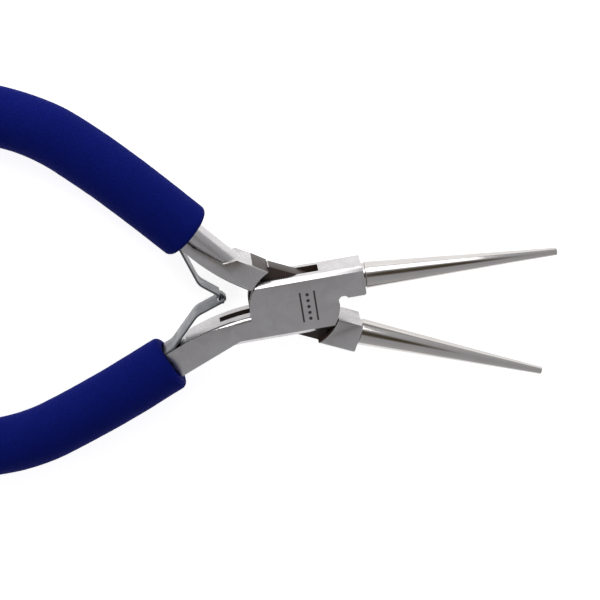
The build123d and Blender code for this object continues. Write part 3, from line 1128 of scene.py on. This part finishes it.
@dataclass
class RolledLeaf(LeafSpring):
    """The upper leaf, which narrows to a neck that is rolled round the other leaf's bar."""

    side: Side = Side.TONGUE
    width: float = 5.2 * MM
    middle_width: float = 2.0 * MM
    neck_length: float = 1.5 * MM
    eye_radius: float = 0.72 * MM
    eye_turn: float = radians(285.0)
    eye_steps: int = 30

    def draw_middle(self, shape: BMesh) -> None:
        """Draw the strip to its eye, roll the eye and narrow the neck.

        Args:
            shape: The mesh.
        """
        way = self.knuckle - self.knee_point
        heading = atan2(way.y, way.x) - asin(self.eye_radius / way.length)
        below = Vector((sin(heading), -cos(heading), 0.0))
        edges = self.draw_to(shape, self.start_strip(shape), self.knuckle + self.eye_radius * below)
        swung_round(shape, edges, self.knuckle, self.eye_turn, self.eye_steps)
        self.cut_away(shape, self.neck_length, middle=False)


# ---- mark ----
@dataclass
class EtchedMark:
    """A plain etched mark on the upper cheek: two bars with a row of dots between them."""

    center: tuple[float, float] = (3.28 * MM, -0.36 * MM)
    bar_length: float = 7.6 * MM
    bar_width: float = 0.42 * MM
    bar_spread: float = 3.4 * MM
    dots: int = 5
    dot_radius: float = 0.42 * MM
    proud: float = 0.012 * MM

    def build(self, oxide: Material) -> Object:
        """Make the mark.

        Args:
            oxide: Its finish.

        Returns:
            The piece.
        """
        shape = bmesh.new()
        for side in (-1.0, 1.0):
            corner = Matrix.Translation((side * self.bar_spread / 2, 0.0, 0.0))
            size = Matrix.Diagonal((self.bar_width, self.bar_length, 2 * self.proud, 1.0))
            bmesh.ops.create_cube(shape, size=1.0, matrix=corner @ size)
        pitch = self.bar_length / self.dots
        for number in range(self.dots):
            place = Matrix.Translation((0.0, (number - (self.dots - 1) / 2) * pitch, 0.0))
            bmesh.ops.create_cone(shape, cap_ends=True, segments=24, radius1=self.dot_radius,
                                  radius2=self.dot_radius, depth=2 * self.proud, matrix=place)
        lift = Matrix.Translation((*self.center, HALF_THICKNESS - self.proud / 2))
        bmesh.ops.transform(shape, matrix=Side.BOX.matrix @ lift, verts=shape.verts)
        piece = finished_object("etched_mark", shape, [oxide])
        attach(piece, Side.BOX.body)
        return piece


# ---- studio ----
@dataclass
class Studio:
    """A white table, soft light and the camera."""

    view: tuple[float, float] = (-0.105, 0.365)
    distance: float = 520.0 * MM
    dot: float = 0.238 * MM
    roll: float = radians(4.9)
    aim: tuple[float, float] = (6.44, -0.25)
    image_dots: int = 600
    sensor: float = 36.0
    clip_start: float = 0.01
    table_size: float = 3.0
    table_gap: float = 0.1 * MM
    horizon_color: tuple[float, float, float] = (0.54, 0.54, 0.55)
    ceiling_color: tuple[float, float, float] = (0.40, 0.40, 0.41)
    patch_color: tuple[float, float, float] = (0.075, 0.058, 0.036)
    patch_direction: tuple[float, float, float] = (0.0, 0.26, 0.966)
    patch_inner: float = radians(13.0)
    patch_outer: float = radians(24.0)
    lamps: tuple[tuple[str, tuple[float, ...], tuple[float, float], float], ...] = (
        ("softbox", (-0.138, 0.516, 0.272), (0.5, 0.42), 1.3),
        ("near_softbox", (-0.11, 0.19, 0.12), (0.12, 0.12), 0.12),
    )

    def build(self, table: Material) -> None:
        """Set up the camera, the table and the lights.

        Args:
            table: The table's finish.
        """
        self.add_camera()
        self.add_table(table)
        self.add_sky()
        for name, place, size, power in self.lamps:
            self.add_softbox(name, Vector(place), size, power)

    def add_camera(self) -> None:
        """Aim a long lens at the joint from above and a little behind."""
        x, y = self.view
        back = Vector((x, y, sqrt(1.0 - x * x - y * y)))
        right = Vector((0.0, 1.0, 0.0)).cross(back).normalized()
        up = back.cross(right)
        turned_right = right * cos(self.roll) + up * sin(self.roll)
        turned_up = up * cos(self.roll) - right * sin(self.roll)
        middle = Vector((0.0, 0.0, HALF_THICKNESS))
        middle += self.dot * (self.aim[0] * turned_right - self.aim[1] * turned_up)
        camera = bpy.data.objects.new("camera", bpy.data.cameras.new("camera"))
        camera.data.sensor_width = self.sensor
        camera.data.lens = self.sensor / self.image_dots * self.distance / self.dot
        camera.data.clip_start = self.clip_start
        axes = Matrix((turned_right, turned_up, back)).transposed().to_4x4()
        camera.matrix_world = Matrix.Translation(middle + self.distance * back) @ axes
        bpy.context.scene.collection.objects.link(camera)
        bpy.context.scene.camera = camera
        bpy.context.scene.view_settings.view_transform = "Standard"

    def add_table(self, table: Material) -> None:
        """Lay the table under the lowest point.

        Args:
            table: Its finish.
        """
        shape = bmesh.new()
        low = CAD_BOX[0][2] - self.table_gap
        bmesh.ops.create_grid(shape, x_segments=1, y_segments=1, size=self.table_size,
                              matrix=Matrix.Translation((0.0, 0.0, low)))
        finished_object("table", shape, [table])

    def add_sky(self) -> None:
        """Light the room evenly, with one dark patch overhead."""
        world = bpy.data.worlds.new("studio")
        world.use_nodes = True
        tree = Tree(world.node_tree)
        direction = tree.add("TexCoord").outputs["Generated"]
        split = tree.add("SeparateXYZ")
        tree.join(direction, split.inputs[0])
        sky = tree.blend_colors(split.outputs["Z"], self.horizon_color, self.ceiling_color)
        patch = tree.add("VectorMath", operation="DOT_PRODUCT")
        tree.join(direction, patch.inputs[0])
        patch.inputs[1].default_value = Vector(self.patch_direction).normalized()
        inside = tree.spread(patch.outputs["Value"], cos(self.patch_outer), cos(self.patch_inner),
                             0.0, 1.0)
        background = world.node_tree.nodes["Background"]
        tree.join(tree.blend_colors(inside, sky, self.patch_color), background.inputs["Color"])
        bpy.context.scene.world = world

    def add_softbox(self, name: str, place: Vector, size: tuple[float, float],
                    power: float) -> None:
        """Hang a soft light that points at the joint.

        Args:
            name: Its name.
            place: Where it hangs.
            size: Its width and height.
            power: Its power in watts.
        """
        lamp = bpy.data.lights.new(name, "AREA")
        lamp.shape = "RECTANGLE"
        lamp.size, lamp.size_y = size
        lamp.energy = power
        made = bpy.data.objects.new(name, lamp)
        turn = (-place).to_track_quat("-Z", "Y").to_matrix().to_4x4()
        made.matrix_world = Matrix.Translation(place) @ turn
        made.visible_camera = False
        bpy.context.scene.collection.objects.link(made)


def dress(node: str, material: Material) -> None:
    """Give a frame node that is kept its finish.

    Args:
        node: The node's name.
        material: Its finish.
    """
    for material_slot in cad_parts[node].material_slots:
        material_slot.material = material
    LOG.info("%s: kept from the frame", node)


def main() -> None:
    """Build and dress every piece."""
    logging.basicConfig(level=logging.INFO, format="%(message)s")
    groups = {
        "lines": brushed_lines_group(),
        "wear": edge_wear_group(),
        "painted_shade_and_grime": painted_shade_and_grime_group(),
        "handling": handling_group(),
        "foam": foam_cells_group(),
    }
    ground = GROUND_STEEL.material(groups)
    polished = POLISHED_STEEL.material(groups)
    strip = SPRING_STRIP.material(groups)
    turned = TURNED_STEEL.material(groups)
    # scale is the dark material of the painted shade in the joint
    scale = JOINT_PAINTED_SHADE.material(groups)
    foam = FoamFinish().material(groups)
    Studio().build(WHITE_TABLE.material(groups))
    SteelHalf(Side.BOX, "box_half").build(ground, polished, scale)
    SteelHalf(Side.TONGUE, "tongue_half").build(ground, polished, scale)
    FoamGrip(Side.BOX, 14.5 * MM).build(foam)
    FoamGrip(Side.TONGUE, 12.4 * MM).build(foam)
    WindowLeaf().build(strip)
    RolledLeaf().build(strip)
    EtchedMark().build(ETCHED_OXIDE.material(groups))
    dress("pivot_pin", ground)
    dress("spring_screw_lower", turned)
    dress("spring_screw_upper", turned)


if __name__ == "__main__":
    main()
